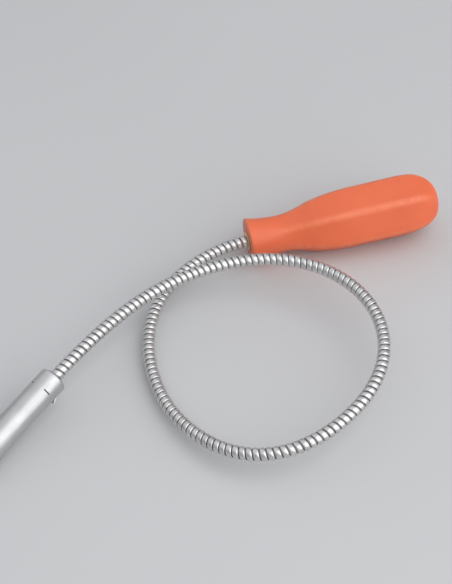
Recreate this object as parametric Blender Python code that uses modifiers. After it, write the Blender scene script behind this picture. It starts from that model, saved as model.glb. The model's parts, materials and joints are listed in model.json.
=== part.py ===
"""Flexible magnetic pick-up tool: a moulded screwdriver-style handle, a long gooseneck that
holds whatever bend it is given, and a lighted cylindrical head with a magnet at its tip.

The tool lies on a table with its neck bent into one loop. Axes: +Z up, the handle points
towards +X, and the loop lies on the -Y side of the handle. The origin is on the table,
under the middle of the whole tool. Every length below is in millimetres.
"""
import math

import bmesh
import bpy
from mathutils import Matrix, Vector

MM = 0.001
COLLECTION_NAME = "flexible_pickup_tool"
CUTTER_COLLECTION_NAME = "cutters"

# ---- The gooseneck ---------------------------------------------------------------------
NECK_RADIUS = 3.25
NECK_LINK = 42.1            # length between two stations of the route
# The bend the neck holds at rest: its heading in plan and its slope at each station, from
# the handle's face to the head. It turns once round, anticlockwise from above.
NECK_HEADING_DEG = (194, 228, 268, 295, 328, 382, 417, 460, 503, 546, 570, 589, 592)
NECK_SLOPE_DEG = (-4, -6, -2, 4, 8, 8, 6, 0, -2, 0, -2, -1, -9.5)
LINK_COUNT = len(NECK_HEADING_DEG) - 1
STEPS_PER_LINK = 40         # fine steps used to add up the route
SECTION_POINT_GAP = 5.5     # spacing of the points along a section's tube
HINGE_TIP_GAP = 0.5         # from a hinge to the tip of the section beside it
HINGE_TAPER = 2.1           # from a hinge to where a section has its full radius
HINGE_TIP_RADIUS = 0.6
NECK_IN_HANDLE = 30.0       # how far the neck is held inside the handle
NECK_IN_HEAD = 9.0

# ---- The handle, measured from its front face ------------------------------------------
FACE_CENTRE = Vector((17.2, 55.0, 12.15))
HANDLE_HEADING_DEG = 14.0
HANDLE_SLOPE_DEG = 4.2     # it lies on its face rim and on its belly
RIDGE_ANGLE_DEG = 52.0      # one ridge, measured up from the horizontal on the loop's side
HANDLE_LENGTH = 105.0
FACE_EDGE_RADIUS = 1.2
# Half of the width across the flats, along the handle up to its fattest place.
HANDLE_PROFILE = ((0.0, 12.1), (10.0, 10.3), (19.0, 9.8), (27.0, 11.0), (36.0, 13.4),
                  (50.0, 15.2), (66.0, 15.5), (82.0, 15.6))
DOME_START, DOME_POWER = 82.0, 2.6
RIDGE_FILLET = 5.0          # rounding of the six ridges
FACETS_START, FACETS_FULL = 5.0, 30.0
FACETS_FADE, FACETS_END = 93.0, 103.5
FACET_COUNT, POINTS_PER_RIDGE, POINTS_PER_FLAT = 6, 5, 3
ROUND_SWELL = 1.035         # round stretches are a little wider than across the flats
BORE_RADIUS, BORE_DEPTH = 4.75, 34.5
FACE_RINGS, DOME_RINGS, LAST_DOME_DEG = 4, 10, 86.0
# Where the cross-sections between the face's edge and the dome are.
SECTION_PLACES = (5.0, 9.0, 13.0, 17.0, 21.0, 25.0, 30.0, 35.0, 41.0, 47.0, 54.0, 62.0, 70.0,
                  77.0)

# ---- Ferrule and fittings at the two ends of the neck ----------------------------------
FERRULE_RADIUS, FERRULE_BORE, FERRULE_DEPTH = 4.6, 3.45, 33.8
FERRULE_LIP_RADIUS, FERRULE_LIP, FERRULE_LIP_GAP = 5.1, 0.6, 0.1
FITTING_RADIUS, FITTING_LENGTH, FITTING_GAP = 3.25, 3.0, 0.3

# ---- The head, measured from its rear face towards the magnet --------------------------
HEAD_RADIUS = 7.0
BARREL_END, BARREL_BORE, BARREL_REAR_WALL, BARREL_EDGE = 48.0, 6.4, 0.9, 1.0
BOSS_RADIUS, BOSS_HEIGHT, NECK_HOLE = 4.4, 1.0, 3.45
PLUG_RADIUS, PLUG_START, PLUG_END = 6.3, 1.1, 13.0
TAB_COUNT, TAB_PLACE, TAB_SLOT, TAB_LENGTH = 4, 9.2, 0.5, 3.8
TAB_CUT_FLOOR, TAB_CUT_HEIGHT = 6.65, 2.0
TAB_FIRST_DEG = 44.0        # the first tab, measured round the head from its top
SPRING_START, SPRING_END, SPRING_WIRE, SPRING_TURNS = 13.3, 19.3, 0.3, 3
SPRING_BIG, SPRING_SMALL = 4.6, 2.6
LINER_OUTER, LINER_INNER, LINER_START, LINER_END = 6.25, 5.95, 14.4, 36.5
CELL_RADIUS, CELL_HEIGHT, CELL_GAP, CELL_COUNT, CELL_START = 5.8, 5.4, 0.2, 3, 19.6
CELL_CAP_RADIUS, CELL_CAP_HEIGHT = 4.6, 0.5
BOARD_RADIUS, BOARD_START, BOARD_END = 5.3, 36.7, 37.9
HOLDER_RADIUS, HOLDER_START, HOLDER_END = 5.3, 38.2, 57.5
HOLDER_BORE, HOLDER_BORE_FLOOR = 3.0, 42.0
LAMP_COUNT, LAMP_CIRCLE, LAMP_RADIUS, LAMP_FLANGE = 3, 4.0, 0.9, 1.0
LAMP_BORE, LAMP_BORE_FLOOR, LAMP_START = 1.15, 50.0, 50.2
LAMP_FLANGE_END, LAMP_BODY_END = 51.4, 57.8
CUP_OUTER, CUP_INNER, CUP_START, CUP_FLOOR, CUP_END = 2.85, 2.35, 42.3, 43.3, 61.0
MAGNET_RADIUS, MAGNET_START, MAGNET_END = 2.25, 43.5, 62.0
SEAL_INNER, SEAL_OUTER, SEAL_START, SEAL_END = 6.25, 6.85, 48.1, 48.9
BEZEL_START, BEZEL_END = 49.05, 61.2
BEZEL_SPIGOT_RADIUS, BEZEL_SPIGOT_START, BEZEL_BORE = 6.15, 41.0, 5.5
BEZEL_MOUTH, BEZEL_EDGE = 5.9, 1.0
GRIP_GROOVES, GROOVE_DEPTH, GROOVE_WIDTH, GROOVE_PITCH, GROOVE_START = 4, 0.35, 0.8, 1.8, 51.0

TURNED_STEPS = 40
SMALL_TURNED_STEPS = 16
CUT_MARGIN = 1.0            # how far a cutter runs past the face it opens
MERGE = 0.000001

COLOURS = {
    "orange_plastic": ((0.83, 0.21, 0.09), 0.38, 0.0),
    "bright_steel": ((0.62, 0.61, 0.59), 0.24, 1.0),
    "satin_aluminium": ((0.72, 0.72, 0.71), 0.34, 1.0),
    "brass": ((0.72, 0.50, 0.24), 0.32, 1.0),
    "nickel": ((0.66, 0.64, 0.60), 0.18, 1.0),
    "black_plastic": ((0.02, 0.02, 0.022), 0.45, 0.0),
    "clear_plastic": ((0.90, 0.92, 0.95), 0.08, 0.0),
    "circuit_board": ((0.03, 0.20, 0.08), 0.40, 0.0),
    "paper_liner": ((0.80, 0.78, 0.72), 0.80, 0.0),
    "seal_rubber": ((0.012, 0.012, 0.012), 0.70, 0.0),
}


# ---- Scene, materials and placing ------------------------------------------------------
def clear_scene():
    for old in list(bpy.data.objects):
        bpy.data.objects.remove(old, do_unlink=True)


def new_collection(name):
    collection = bpy.data.collections.new(name)
    bpy.context.scene.collection.children.link(collection)
    return collection


def make_material(name):
    colour, roughness, metallic = COLOURS[name]
    material = bpy.data.materials.new(name)
    material.use_nodes = True
    shader = material.node_tree.nodes["Principled BSDF"]
    shader.inputs["Base Color"].default_value = (*colour, 1.0)
    shader.inputs["Roughness"].default_value = roughness
    shader.inputs["Metallic"].default_value = metallic
    return material


def direction(heading_deg, slope_deg):
    heading, slope = math.radians(heading_deg), math.radians(slope_deg)
    return Vector((math.cos(heading) * math.cos(slope), math.sin(heading) * math.cos(slope),
                   math.sin(slope)))


def axis_frame(origin_mm, axis, start):
    """A frame at origin_mm with its Z along axis and its X as near to start as it can be."""
    z = axis.normalized()
    x = (start - z * start.dot(z)).normalized()
    y = z.cross(x)
    rotation = Matrix((x, y, z)).transposed().to_4x4()
    return Matrix.Translation(origin_mm * MM) @ rotation


def add_object(name, data, collection, material, frame, parent=None):
    made = bpy.data.objects.new(name, data)
    collection.objects.link(made)
    if material is not None:
        data.materials.append(material)
    if parent is not None:
        made.parent = parent
        made.matrix_parent_inverse = parent.matrix_world.inverted()
    made.matrix_world = frame
    return made


def add_empty(name, collection, origin_mm):
    empty = bpy.data.objects.new(name, None)
    collection.objects.link(empty)
    empty.empty_display_size = 0.01
    empty.matrix_world = Matrix.Translation(origin_mm * MM)
    bpy.context.view_layer.update()
    return empty


# ---- The route of the neck -------------------------------------------------------------
def smooth_value(values, t):
    """A smooth curve through values, read at t stations from the first."""
    last = len(values) - 1
    i = min(int(t), last - 1)
    f = t - i
    here, following = values[i], values[i + 1]
    before = values[i - 1] if i > 0 else 2 * here - following
    after = values[i + 2] if i + 2 <= last else 2 * following - here
    slope_here, slope_following = (following - before) / 2, (after - here) / 2
    return ((2 * f**3 - 3 * f**2 + 1) * here + (f**3 - 2 * f**2 + f) * slope_here
            + (3 * f**2 - 2 * f**3) * following + (f**3 - f**2) * slope_following)


def neck_tangent(t):
    return direction(smooth_value(NECK_HEADING_DEG, t), smooth_value(NECK_SLOPE_DEG, t))


def neck_route():
    """Points along the neck's centre line, STEPS_PER_LINK to a link."""
    points = [FACE_CENTRE.copy()]
    for step in range(LINK_COUNT * STEPS_PER_LINK):
        middle = (step + 0.5) / STEPS_PER_LINK
        points.append(points[-1] + neck_tangent(middle) * (NECK_LINK / STEPS_PER_LINK))
    return points


ROUTE = neck_route()


def neck_point(s):
    """The centre line at s mm from the handle's face, straight on beyond either end."""
    length = LINK_COUNT * NECK_LINK
    if s < 0:
        return ROUTE[0] - handle_axis() * s
    if s > length:
        return ROUTE[-1] + head_axis() * (s - length)
    place = s / NECK_LINK * STEPS_PER_LINK
    i = min(int(place), len(ROUTE) - 2)
    return ROUTE[i].lerp(ROUTE[i + 1], place - i)


def handle_axis():
    return direction(HANDLE_HEADING_DEG, HANDLE_SLOPE_DEG)


def head_axis():
    return neck_tangent(LINK_COUNT)


# ---- Shapes ----------------------------------------------------------------------------
def turned(name, profile, collection, material, frame, steps=TURNED_STEPS, closed=True,
           parent=None):
    """A turned piece. The profile (radius, height) runs down its outer side from the top."""
    mesh = bpy.data.meshes.new(name)
    points = [(radius * MM, 0.0, height * MM) for radius, height in profile]
    edges = [(i, i + 1) for i in range(len(points) - 1)]
    if closed:
        edges.append((len(points) - 1, 0))
    mesh.from_pydata(points, edges, [])
    made = add_object(name, mesh, collection, material, frame, parent)
    screw = made.modifiers.new("turn", "SCREW")
    screw.axis = "Z"
    screw.steps = steps
    screw.render_steps = steps
    screw.use_merge_vertices = True
    screw.merge_threshold = MERGE
    return made


def corner_arc(radius, height, fillet, begin_deg, end_deg, count=4):
    """Points of a quarter-round whose centre is at (radius, height)."""
    points = []
    for i in range(count + 1):
        angle = math.radians(begin_deg + (end_deg - begin_deg) * i / count)
        points.append((radius + fillet * math.cos(angle), height + fillet * math.sin(angle)))
    return points


def tube(name, points, radii, material, collection, origin, thickness, parent=None,
         resolution=3):
    """A tube along points in mm, thickness its radius and radii its factor at each point."""
    curve = bpy.data.curves.new(name, "CURVE")
    curve.dimensions = "3D"
    curve.bevel_depth = thickness * MM
    curve.bevel_resolution = resolution
    curve.use_fill_caps = True
    spline = curve.splines.new("POLY")
    spline.points.add(len(points) - 1)
    for place, point, factor in zip(spline.points, points, radii):
        place.co = (*((point - origin) * MM), 1.0)
        place.radius = factor
    return add_object(name, curve, collection, material, Matrix.Translation(origin * MM), parent)


def cylinder_cutter(name, radius, bottom, top, frame, collection, steps=24):
    """A cutter along its frame's Z, from bottom to top."""
    cutter = turned(name, ((0.0, top), (radius, top), (radius, bottom), (0.0, bottom)),
                    collection, None, frame, steps, closed=False)
    cutter.hide_render = True
    cutter.display_type = "WIRE"
    return cutter


def box_cutter(name, size, frame, collection):
    shape = bmesh.new()
    bmesh.ops.create_cube(shape, size=MM)
    bmesh.ops.scale(shape, vec=size, verts=shape.verts)
    mesh = bpy.data.meshes.new(name)
    shape.to_mesh(mesh)
    shape.free()
    cutter = add_object(name, mesh, collection, None, frame)
    cutter.hide_render = True
    cutter.display_type = "WIRE"
    return cutter


def cut(target, cutter):
    boolean = target.modifiers.new("cut_" + cutter.name, "BOOLEAN")
    boolean.operation = "DIFFERENCE"
    boolean.solver = "EXACT"
    boolean.object = cutter


# ---- The handle ------------------------------------------------------------------------
def handle_width(t):
    """Half of the width across the flats, t mm from the front face."""
    if t >= DOME_START:
        fraction = min((t - DOME_START) / (HANDLE_LENGTH - DOME_START), 1.0)
        fattest = HANDLE_PROFILE[-1][1]
        return fattest * (1.0 - fraction ** DOME_POWER) ** (1.0 / DOME_POWER)
    places = [place for place, _ in HANDLE_PROFILE]
    widths = [width for _, width in HANDLE_PROFILE]
    i = max(n for n in range(len(places) - 1) if places[n] <= t)
    # At the fattest place the profile runs parallel to the axis, as the dome does there.
    slopes = []
    for n in range(len(places)):
        if n == len(places) - 1:
            slopes.append(0.0)
        else:
            low = max(n - 1, 0)
            slopes.append((widths[n + 1] - widths[low]) / (places[n + 1] - places[low]))
    gap = places[i + 1] - places[i]
    f = (t - places[i]) / gap
    return ((2 * f**3 - 3 * f**2 + 1) * widths[i] + (f**3 - 2 * f**2 + f) * gap * slopes[i]
            + (3 * f**2 - 2 * f**3) * widths[i + 1] + (f**3 - f**2) * gap * slopes[i + 1])


def smooth_step(value, low, high):
    f = min(max((value - low) / (high - low), 0.0), 1.0)
    return f * f * (3.0 - 2.0 * f)


def facet_weight(t):
    """0 where the handle is round, 1 where it is six-sided."""
    return (smooth_step(t, FACETS_START, FACETS_FULL)
            * (1.0 - smooth_step(t, FACETS_FADE, FACETS_END)))


def hexagon_points(width):
    """A six-sided outline with rounded ridges, width its half-width across the flats."""
    fillet = min(RIDGE_FILLET, width * 0.5)
    half_sector = math.pi / FACET_COUNT
    centre = (width - fillet) / math.cos(half_sector)
    points = []
    for ridge in range(FACET_COUNT):
        turn = 2 * half_sector * ridge
        arc = []
        for i in range(POINTS_PER_RIDGE):
            normal = half_sector * (2 * i / (POINTS_PER_RIDGE - 1) - 1) + turn
            arc.append(Vector((centre * math.cos(turn) + fillet * math.cos(normal),
                               centre * math.sin(turn) + fillet * math.sin(normal))))
        # The flat to the next ridge starts where this arc ends.
        next_turn = turn + 2 * half_sector
        normal = turn + half_sector
        flat_end = Vector((centre * math.cos(next_turn) + fillet * math.cos(normal),
                           centre * math.sin(next_turn) + fillet * math.sin(normal)))
        points.extend(arc)
        for i in range(1, POINTS_PER_FLAT + 1):
            points.append(arc[-1].lerp(flat_end, i / (POINTS_PER_FLAT + 1)))
    return points


def handle_ring(t, width, weight):
    """One cross-section of the handle: round where weight is 0, six-sided where it is 1."""
    ring = []
    for flat in hexagon_points(width):
        swell = 1.0 + (ROUND_SWELL - 1.0) * smooth_step(t, 0.0, FACETS_FULL)
        rounded = flat.normalized() * width * swell
        place = rounded.lerp(flat, weight)
        ring.append((place.x * MM, place.y * MM, t * MM))
    return ring


def make_handle(collection, cutters, materials):
    frame = axis_frame(FACE_CENTRE, handle_axis(), ridge_direction())
    rings = []
    for i in range(FACE_RINGS):
        angle = math.radians(90.0 * i / (FACE_RINGS - 1))
        inset = FACE_EDGE_RADIUS * (1.0 - math.sin(angle))
        depth = FACE_EDGE_RADIUS * (1.0 - math.cos(angle))
        rings.append(handle_ring(depth, handle_width(0.0) - inset, 0.0))
    for t in SECTION_PLACES:
        rings.append(handle_ring(t, handle_width(t), facet_weight(t)))
    for i in range(DOME_RINGS):
        fraction = math.sin(math.radians(LAST_DOME_DEG) * i / (DOME_RINGS - 1))
        t = DOME_START + (HANDLE_LENGTH - DOME_START) * fraction
        rings.append(handle_ring(t, handle_width(t), facet_weight(t)))
    shape = bmesh.new()
    levels = [[shape.verts.new(point) for point in ring] for ring in rings]
    count = len(levels[0])
    for low, high in zip(levels, levels[1:]):
        for i in range(count):
            following = (i + 1) % count
            shape.faces.new((low[i], low[following], high[following], high[i]))
    shape.faces.new(list(reversed(levels[0])))
    tip = shape.verts.new((0.0, 0.0, HANDLE_LENGTH * MM))
    for i in range(count):
        shape.faces.new((levels[-1][i], levels[-1][(i + 1) % count], tip))
    mesh = bpy.data.meshes.new("handle_grip")
    shape.to_mesh(mesh)
    shape.free()
    mesh.shade_smooth()
    grip = add_object("handle_grip", mesh, collection, materials["orange_plastic"], frame)
    bore = cylinder_cutter("handle_bore_cutter", BORE_RADIUS, -1.0, BORE_DEPTH, frame, cutters)
    cut(grip, bore)

    lip_bottom = -FERRULE_LIP_GAP
    lip_top = lip_bottom - FERRULE_LIP
    turned("handle_ferrule",
           ((FERRULE_RADIUS, FERRULE_DEPTH), (FERRULE_RADIUS, lip_bottom),
            (FERRULE_LIP_RADIUS, lip_bottom), (FERRULE_LIP_RADIUS, lip_top),
            (FERRULE_BORE, lip_top), (FERRULE_BORE, FERRULE_DEPTH)),
           collection, materials["brass"], frame)
    fitting_start = NECK_IN_HANDLE + FITTING_GAP
    turned("neck_rear_fitting",
           ((0.0, fitting_start + FITTING_LENGTH), (FITTING_RADIUS, fitting_start + FITTING_LENGTH),
            (FITTING_RADIUS, fitting_start), (0.0, fitting_start)),
           collection, materials["bright_steel"], frame, closed=False)


def ridge_direction():
    """The direction, square to the handle, that one of its ridges points in."""
    axis = handle_axis()
    level = axis.cross(Vector((0.0, 0.0, 1.0))).normalized()
    upward = level.cross(axis)
    angle = math.radians(RIDGE_ANGLE_DEG)
    return level * math.cos(angle) + upward * math.sin(angle)


# ---- The neck --------------------------------------------------------------------------
def hinge_position(number):
    """Where hinge 1, 2, ... is, in mm along the neck from the handle's face."""
    return (number - 0.5) * NECK_LINK


def section_stations(start, end, taper_start, taper_end):
    """Places and radius factors along one section, tapered where it meets a hinge."""
    places = []
    if taper_start:
        places.append((start + HINGE_TIP_GAP, HINGE_TIP_RADIUS / NECK_RADIUS))
        start += HINGE_TAPER
    tail = []
    if taper_end:
        tail.append((end - HINGE_TIP_GAP, HINGE_TIP_RADIUS / NECK_RADIUS))
        end -= HINGE_TAPER
    count = max(2, round((end - start) / SECTION_POINT_GAP))
    for i in range(count + 1):
        places.append((start + (end - start) * i / count, 1.0))
    return places + tail


def make_neck(collection, materials, head_parent):
    for number in range(1, LINK_COUNT + 2):
        first, last = number == 1, number == LINK_COUNT + 1
        start = -NECK_IN_HANDLE if first else hinge_position(number - 1)
        end = LINK_COUNT * NECK_LINK + NECK_IN_HEAD if last else hinge_position(number)
        places = section_stations(start, end, not first, not last)
        origin = neck_point(0.0 if first else start)
        tube(f"neck_section_{number:02d}", [neck_point(s) for s, _ in places],
             [factor for _, factor in places], materials["bright_steel"], collection, origin,
             NECK_RADIUS, head_parent if last else None)


# ---- The head --------------------------------------------------------------------------
def make_barrel(collection, cutters, materials, frame, parent):
    """A drawn tube with a rear wall, and four tabs pressed into the plug that holds the neck."""
    edge = corner_arc(HEAD_RADIUS - BARREL_EDGE, BARREL_EDGE, BARREL_EDGE, 0, -90)
    profile = [(HEAD_RADIUS, BARREL_END), *edge, (BOSS_RADIUS, -BOSS_HEIGHT),
               (NECK_HOLE, -BOSS_HEIGHT), (NECK_HOLE, BARREL_REAR_WALL),
               (BARREL_BORE, BARREL_REAR_WALL), (BARREL_BORE, BARREL_END)]
    barrel = turned("head_barrel", profile, collection, materials["satin_aluminium"], frame,
                    parent=parent)
    slot_size = Vector((TAB_CUT_HEIGHT, TAB_LENGTH, TAB_SLOT))
    middle = TAB_CUT_FLOOR + TAB_CUT_HEIGHT / 2
    for i in range(TAB_COUNT):
        turn = Matrix.Rotation(math.radians(TAB_FIRST_DEG) + math.tau * i / TAB_COUNT, 4, "Z")
        place = Matrix.Translation(Vector((middle, 0.0, TAB_PLACE)) * MM)
        cut(barrel, box_cutter(f"tab_cutter_{i + 1}", slot_size, frame @ turn @ place, cutters))


def make_neck_plug(collection, materials, frame, parent):
    turned("neck_plug",
           ((PLUG_RADIUS, PLUG_END), (PLUG_RADIUS, PLUG_START), (NECK_HOLE, PLUG_START),
            (NECK_HOLE, PLUG_END)),
           collection, materials["brass"], frame, parent=parent)
    fitting_start = NECK_IN_HEAD + FITTING_GAP
    turned("neck_front_fitting",
           ((0.0, fitting_start + FITTING_LENGTH), (FITTING_RADIUS, fitting_start + FITTING_LENGTH),
            (FITTING_RADIUS, fitting_start), (0.0, fitting_start)),
           collection, materials["bright_steel"], frame, 32, closed=False, parent=parent)


def make_battery(collection, materials, frame, parent):
    points = []
    per_turn = 12
    steps = SPRING_TURNS * per_turn
    low, high = SPRING_START + SPRING_WIRE, SPRING_END - SPRING_WIRE
    for i in range(steps + 1):
        angle = math.tau * i / per_turn
        radius = SPRING_BIG + (SPRING_SMALL - SPRING_BIG) * i / steps
        local = Vector((radius * math.cos(angle), radius * math.sin(angle),
                        low + (high - low) * i / steps))
        points.append((frame @ (local * MM)) / MM)
    tube("battery_spring", points, [1.0] * len(points), materials["nickel"], collection,
         points[0].copy(), SPRING_WIRE, parent, 1)
    turned("battery_liner",
           ((LINER_OUTER, LINER_END), (LINER_OUTER, LINER_START), (LINER_INNER, LINER_START),
            (LINER_INNER, LINER_END)),
           collection, materials["paper_liner"], frame, parent=parent)
    for i in range(CELL_COUNT):
        bottom = CELL_START + i * (CELL_HEIGHT + CELL_GAP)
        top = bottom + CELL_HEIGHT
        turned(f"battery_cell_{i + 1}",
               ((0.0, top), (CELL_RADIUS, top), (CELL_RADIUS, bottom + CELL_CAP_HEIGHT),
                (CELL_CAP_RADIUS, bottom + CELL_CAP_HEIGHT), (CELL_CAP_RADIUS, bottom),
                (0.0, bottom)),
               collection, materials["nickel"], frame, 32, closed=False, parent=parent)


def make_lamp_module(collection, cutters, materials, frame, parent):
    turned("contact_board",
           ((0.0, BOARD_END), (BOARD_RADIUS, BOARD_END), (BOARD_RADIUS, BOARD_START),
            (0.0, BOARD_START)),
           collection, materials["circuit_board"], frame, 32, closed=False, parent=parent)
    holder = turned("lamp_holder",
                    ((HOLDER_RADIUS, HOLDER_END), (HOLDER_RADIUS, HOLDER_START),
                     (0.0, HOLDER_START), (0.0, HOLDER_BORE_FLOOR),
                     (HOLDER_BORE, HOLDER_BORE_FLOOR), (HOLDER_BORE, HOLDER_END)),
                    collection, materials["black_plastic"], frame, 36, parent=parent)
    for i in range(LAMP_COUNT):
        turn = Matrix.Rotation(math.tau * i / LAMP_COUNT, 4, "Z")
        beside = Matrix.Translation(Vector((LAMP_CIRCLE, 0.0, 0.0)) * MM)
        place = frame @ turn @ beside
        cut(holder, cylinder_cutter(f"lamp_cutter_{i + 1}", LAMP_BORE, LAMP_BORE_FLOOR,
                                    HOLDER_END + CUT_MARGIN, place, cutters, SMALL_TURNED_STEPS))
        dome = corner_arc(0.0, LAMP_BODY_END, LAMP_RADIUS, 90, 0)
        turned(f"lamp_{i + 1}",
               [*dome, (LAMP_RADIUS, LAMP_FLANGE_END), (LAMP_FLANGE, LAMP_FLANGE_END),
                (LAMP_FLANGE, LAMP_START), (0.0, LAMP_START)],
               collection, materials["clear_plastic"], place, SMALL_TURNED_STEPS, closed=False,
               parent=parent)
    turned("magnet_cup",
           ((CUP_OUTER, CUP_END), (CUP_OUTER, CUP_START), (0.0, CUP_START), (0.0, CUP_FLOOR),
            (CUP_INNER, CUP_FLOOR), (CUP_INNER, CUP_END)),
           collection, materials["bright_steel"], frame, 32, parent=parent)
    turned("magnet",
           ((0.0, MAGNET_END), (MAGNET_RADIUS, MAGNET_END), (MAGNET_RADIUS, MAGNET_START),
            (0.0, MAGNET_START)),
           collection, materials["nickel"], frame, 32, closed=False, parent=parent)


def make_bezel(collection, materials, frame, parent):
    outer = [(BEZEL_MOUTH, BEZEL_END)]
    outer += corner_arc(HEAD_RADIUS - BEZEL_EDGE, BEZEL_END - BEZEL_EDGE, BEZEL_EDGE, 90, 0, 3)
    for i in reversed(range(GRIP_GROOVES)):
        low = GROOVE_START + i * GROOVE_PITCH
        high = low + GROOVE_WIDTH
        floor = HEAD_RADIUS - GROOVE_DEPTH
        outer += [(HEAD_RADIUS, high), (floor, high), (floor, low), (HEAD_RADIUS, low)]
    profile = outer + [(HEAD_RADIUS, BEZEL_START), (BEZEL_SPIGOT_RADIUS, BEZEL_START),
                       (BEZEL_SPIGOT_RADIUS, BEZEL_SPIGOT_START),
                       (BEZEL_BORE, BEZEL_SPIGOT_START), (BEZEL_BORE, HOLDER_END)]
    turned("front_bezel", profile, collection, materials["satin_aluminium"], frame,
           parent=parent)
    turned("bezel_seal",
           ((SEAL_OUTER, SEAL_END), (SEAL_OUTER, SEAL_START), (SEAL_INNER, SEAL_START),
            (SEAL_INNER, SEAL_END)),
           collection, materials["seal_rubber"], frame, parent=parent)


def make_head(collection, cutters, materials, parent):
    rear_centre = neck_point(LINK_COUNT * NECK_LINK)
    frame = axis_frame(rear_centre, head_axis(), Vector((0.0, 0.0, 1.0)))
    make_barrel(collection, cutters, materials, frame, parent)
    make_neck_plug(collection, materials, frame, parent)
    make_battery(collection, materials, frame, parent)
    make_lamp_module(collection, cutters, materials, frame, parent)
    make_bezel(collection, materials, frame, parent)


def main():
    clear_scene()
    collection = new_collection(COLLECTION_NAME)
    cutters = new_collection(CUTTER_COLLECTION_NAME)
    materials = {name: make_material(name) for name in COLOURS}
    head_parent = add_empty("head_hinge", collection, neck_point(hinge_position(LINK_COUNT)))
    make_handle(collection, cutters, materials)
    make_neck(collection, materials, head_parent)
    make_head(collection, cutters, materials, head_parent)


main()
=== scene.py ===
"""Looks for the flexible magnetic pick-up tool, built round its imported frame.

The handle and the head are given in millimetres, each from its own end, and MM turns them
into the scene's metres. The neck's lengths carry MM where they are named, so they are metres.
"""

import json
import math

import bmesh
import bpy
import numpy as np
from mathutils import Matrix, Vector


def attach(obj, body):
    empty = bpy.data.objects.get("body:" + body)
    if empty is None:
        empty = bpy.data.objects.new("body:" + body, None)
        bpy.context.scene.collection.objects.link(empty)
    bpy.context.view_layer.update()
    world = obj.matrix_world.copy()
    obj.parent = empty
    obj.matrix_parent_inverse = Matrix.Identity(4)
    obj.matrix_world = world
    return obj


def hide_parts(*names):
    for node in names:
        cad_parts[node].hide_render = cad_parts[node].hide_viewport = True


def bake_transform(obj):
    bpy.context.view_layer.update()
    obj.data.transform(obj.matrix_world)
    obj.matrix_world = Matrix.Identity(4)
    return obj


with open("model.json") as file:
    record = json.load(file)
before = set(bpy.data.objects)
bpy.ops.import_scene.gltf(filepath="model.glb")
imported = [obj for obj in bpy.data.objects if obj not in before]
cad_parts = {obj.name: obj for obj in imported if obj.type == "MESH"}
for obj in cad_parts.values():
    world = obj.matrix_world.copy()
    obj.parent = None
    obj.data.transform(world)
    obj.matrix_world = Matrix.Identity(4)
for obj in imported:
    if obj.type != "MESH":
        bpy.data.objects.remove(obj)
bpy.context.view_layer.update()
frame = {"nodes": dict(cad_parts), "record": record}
MM = 0.001
WELD = 1e-7                     # points this near, in metres, become one
TURNED_SHARP_DEG, WIRE_SHARP_DEG, GRIP_SHARP_DEG = 35, 50, 60     # sharper edges stay sharp

# ---- The neck's route, as the frame has it, in metres ----------------------------------------
NECK_LINK = 42.1 * MM
NECK_HEADING_DEG = (194, 228, 268, 295, 328, 382, 417, 460, 503, 546, 570, 589, 592)
NECK_SLOPE_DEG = (-4, -6, -2, 4, 8, 8, 6, 0, -2, 0, -2, -1, -9.5)
LINK_COUNT = len(NECK_HEADING_DEG) - 1
NECK_LENGTH = LINK_COUNT * NECK_LINK
STEPS_PER_LINK = 120            # fine steps used to add up the route
FACE_CENTRE = np.array((17.2, 55.0, 12.15)) * MM
NECK_IN_HANDLE = 8.0 * MM       # how far the modelled wires run on inside the handle
NECK_IN_HEAD = 5.0 * MM
FIRST_BEND = 2.5 * MM           # clamps where a stretch's bend would start, just outside the handle's face,
LAST_BEND = 2.5 * MM            # and end, just before the head; the clamped places go unused

# ---- The two wires of the neck ---------------------------------------------------------------
NECK_RADIUS = 3.25 * MM
TURN_PITCH = 3.25 * MM
UV_SCALE = 0.01                 # a wire's U grows by this for each mm along the wire
# A wire's section is (along the neck, out from its centre line), in mm.
BAND_SECTION = ((-1.37, 2.86), (-1.27, 3.02), (-1.02, 3.15), (-0.6, 3.225), (0.0, 3.25),
                (0.6, 3.225), (1.02, 3.15), (1.27, 3.02), (1.37, 2.86), (1.15, 2.6), (0.0, 2.1),
                (-1.15, 2.6))
CORE_RADIUS, CORE_CENTRE, CORE_SIDES = 0.75, 1.85, 8
BAND_STEPS, CORE_STEPS = 32, 24     # steps for each turn
CORE_LAG = 0.5                      # the round wire runs half a turn behind the flat one

# ---- The handle, in mm from its front face ---------------------------------------------------
HANDLE_LENGTH = 105.0
RIDGE_ANGLE_DEG = 52.0          # one ridge, measured up from the horizontal on the loop's side
# (place, half of the width across the flats), up to where the dome starts
HANDLE_PROFILE = ((0.0, 12.1), (10.0, 10.3), (19.0, 9.8), (27.0, 11.0), (36.0, 13.4),
                  (50.0, 15.2), (66.0, 15.5), (82.0, 15.6))
DOME_START, DOME_POWER = 82.0, 2.6
RIDGE_FILLET = 5.0
FACETS_START, FACETS_FULL, FACETS_FADE, FACETS_END = 5.0, 30.0, 93.0, 103.5
SIDES, POINTS_PER_RIDGE, POINTS_PER_FLAT = 6, 9, 6
ROUND_SWELL = 1.035             # round stretches are a little wider than across the flats
FACE_EDGE_RADIUS, FACE_EDGE_RINGS = 1.2, 9
FACE_SHARES = (0.0, 0.04, 0.35, 0.7, 0.97)      # rings on the face, from the bore outwards
BODY_RINGS, DOME_RINGS, LAST_DOME_DEG = 64, 30, 88.5
BORE_RADIUS, BORE_SHOWN, BORE_EDGE_DEPTH, BORE_EDGE_WIDTH = 4.75, 7.0, 0.5, 0.3
SHEEN_RIM = (11.2, 12.0)       # radii between which the painted highlight on the rim sets in
SHEEN_RIM_DEPTH = (0.3, 1.4)   # depths between which it fades
FERRULE_RADIUS, FERRULE_BORE, FERRULE_SHOWN = 4.6, 3.45, 6.0
# The ferrule's lip stands out of the face, so its places are below 0.
LIP_RADIUS, LIP_START, LIP_END, LIP_ROUND, LIP_CHAMFER = 5.1, -0.1, -0.6, 0.25, 0.15

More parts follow.
